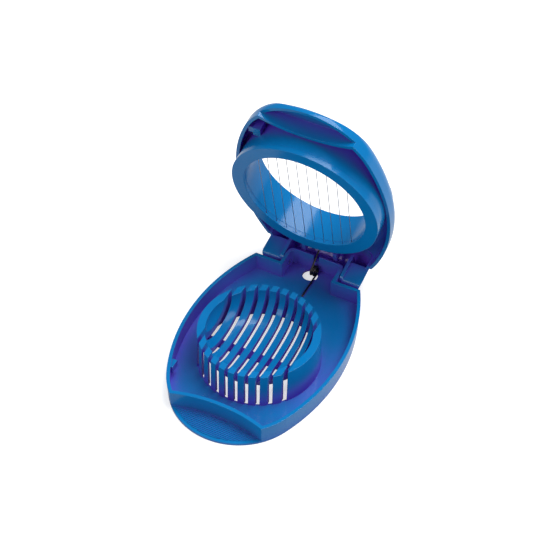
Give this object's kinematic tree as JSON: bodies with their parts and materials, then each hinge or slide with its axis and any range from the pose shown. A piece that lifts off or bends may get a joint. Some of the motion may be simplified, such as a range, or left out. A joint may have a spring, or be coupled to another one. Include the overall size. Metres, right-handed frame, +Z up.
{
  "type": "egg slicer",
  "caption": "Hinged egg slicer with an egg-shaped tray, a slotted round cup, and a sprung lid whose round opening is strung with parallel cutting wires.",
  "frame": {"origin": "axis of the round egg cup on the underside, on the surface the slicer stands on", "axes": "+Z up, +Y from the cup towards the hinge, +X to the right seen from the finger tab"},
  "size_m": [0.0842, 0.1379, 0.1252],
  "materials": {
    "blue_plastic": "gloss",
    "wire_steel": "drawn, bright",
    "pin_steel": "turned",
    "spring_steel": "dark drawn wire"
  },
  "bodies": {
    "base": {"base_tray": "blue_plastic", "hinge_pin_left": "pin_steel", "hinge_pin_right": "pin_steel", "hinge_spring": "spring_steel"},
    "lid": {"lid_shell": "blue_plastic", "wire_ring": "blue_plastic", "spring_arm": "spring_steel", "wire_01": "wire_steel", "wire_02": "wire_steel", "wire_03": "wire_steel", "wire_04": "wire_steel", "wire_05": "wire_steel", "wire_06": "wire_steel", "wire_07": "wire_steel", "wire_08": "wire_steel", "wire_09": "wire_steel", "wire_10": "wire_steel"}
  },
  "joints": [
    {"name": "lid_hinge", "type": "hinge", "parent": "base", "child": "lid", "pos_m": [0, 0.06375, 0.0043], "axis": [1, 0, 0], "range_deg": [0, 77.9], "stiffness_Nm_per_rad": 0.016, "springref_deg": -51.57}
  ]
}
